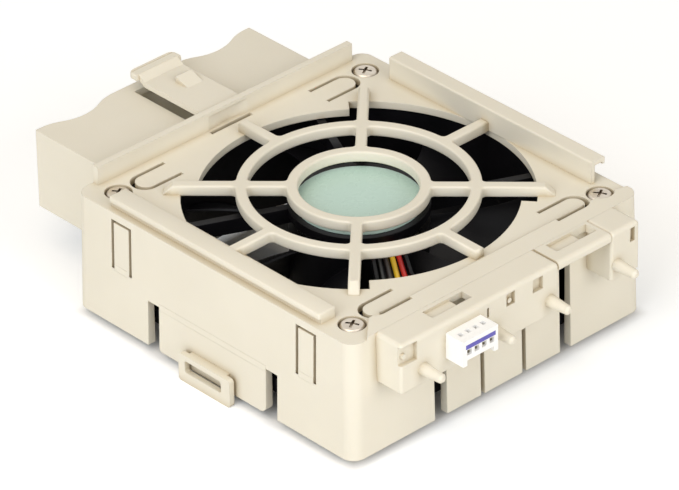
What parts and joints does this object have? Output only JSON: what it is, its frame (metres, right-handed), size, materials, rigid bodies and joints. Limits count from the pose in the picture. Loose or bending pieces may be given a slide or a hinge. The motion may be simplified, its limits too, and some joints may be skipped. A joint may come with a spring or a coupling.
{
  "type": "server fan module",
  "caption": "Square fan in a moulded carrier with a finger guard, guide rails, a connector shelf, a grip with a release latch and a side clip.",
  "frame": {"origin": "on the fan's axis, in the plane of the housing's lower rim", "axes": "+Z along the fan's axis towards the finger guard, +Y towards the handle block, +X towards the tall guide rail"},
  "size_m": [0.1003, 0.1415, 0.0406],
  "materials": {
    "beige_plastic": "fine satin moulding",
    "fan_plastic": "satin black",
    "label": "printed film, left bare",
    "white_plastic": "satin",
    "blue_strip": "satin",
    "contact_metal": "tinned",
    "screw_steel": "zinc plated",
    "steel": "ground",
    "magnet": "dark ferrite",
    "core_steel": "laminated",
    "brass": "turned",
    "insulator_plastic": "moulded",
    "copper": "enamelled wire",
    "board": "lacquered",
    "chips": "moulded",
    "black_sheath": "sheath",
    "brown_sheath": "sheath",
    "yellow_sheath": "sheath",
    "red_sheath": "sheath"
  },
  "bodies": {
    "base": {"housing": "beige_plastic", "finger_guard": "beige_plastic", "connector_shelf": "beige_plastic", "handle_block": "beige_plastic", "guide_rail_right": "beige_plastic", "guide_rail_left": "beige_plastic", "fan_frame": "fan_plastic", "motor_mount": "fan_plastic", "label": "label", "connector_housing": "white_plastic", "coding_strip": "blue_strip", "contacts": "contact_metal", "screw_front_left": "screw_steel", "screw_front_right": "screw_steel", "screw_rear_right": "screw_steel", "screw_rear_left": "screw_steel", "bearing_outer_lower": "steel", "bearing_outer_upper": "steel", "bearing_balls_lower": "steel", "bearing_balls_upper": "steel", "spring_washer": "steel", "stator_core": "core_steel", "bearing_tube": "brass", "bearing_spacer": "brass", "insulator": "insulator_plastic", "coils": "copper", "circuit_board": "board", "board_parts": "chips", "lead_black": "black_sheath", "lead_brown": "brown_sheath", "lead_yellow": "yellow_sheath", "lead_red": "red_sheath"},
    "rotor": {"impeller": "fan_plastic", "rotor_yoke": "steel", "magnet_ring": "magnet", "shaft": "steel", "shaft_clip": "steel", "bearing_inner_lower": "steel", "bearing_inner_upper": "steel"},
    "release_latch": {"release_latch": "beige_plastic"},
    "side_clip": {"side_clip": "beige_plastic", "pull_loop": "beige_plastic"},
    "snap_finger_rear": {"snap_finger_rear": "beige_plastic"},
    "snap_finger_front": {"snap_finger_front": "beige_plastic"}
  },
  "joints": [
    {"name": "rotor_spin", "type": "hinge", "parent": "base", "child": "rotor", "pos_m": [0, 0, 0.015], "axis": [0, 0, 1], "continuous": true},
    {"name": "latch_flex", "type": "hinge", "parent": "base", "child": "release_latch", "pos_m": [0, 0.0493, 0.03525], "axis": [1, 0, 0], "range_deg": [-5, 0], "stiffness_Nm_per_rad": 1.5},
    {"name": "side_clip_flex", "type": "hinge", "parent": "base", "child": "side_clip", "pos_m": [-0.04799, 0, 0.0126], "axis": [0, 1, 0], "range_deg": [0, 6], "stiffness_Nm_per_rad": 0.5},
    {"name": "snap_finger_rear_flex", "type": "hinge", "parent": "base", "child": "snap_finger_rear", "pos_m": [-0.04794, 0.0322, 0.0166], "axis": [0, -1, 0], "range_deg": [0, 4], "stiffness_Nm_per_rad": 1.3},
    {"name": "snap_finger_front_flex", "type": "hinge", "parent": "base", "child": "snap_finger_front", "pos_m": [-0.04794, -0.0331, 0.0166], "axis": [0, -1, 0], "range_deg": [0, 4], "stiffness_Nm_per_rad": 1.3}
  ]
}
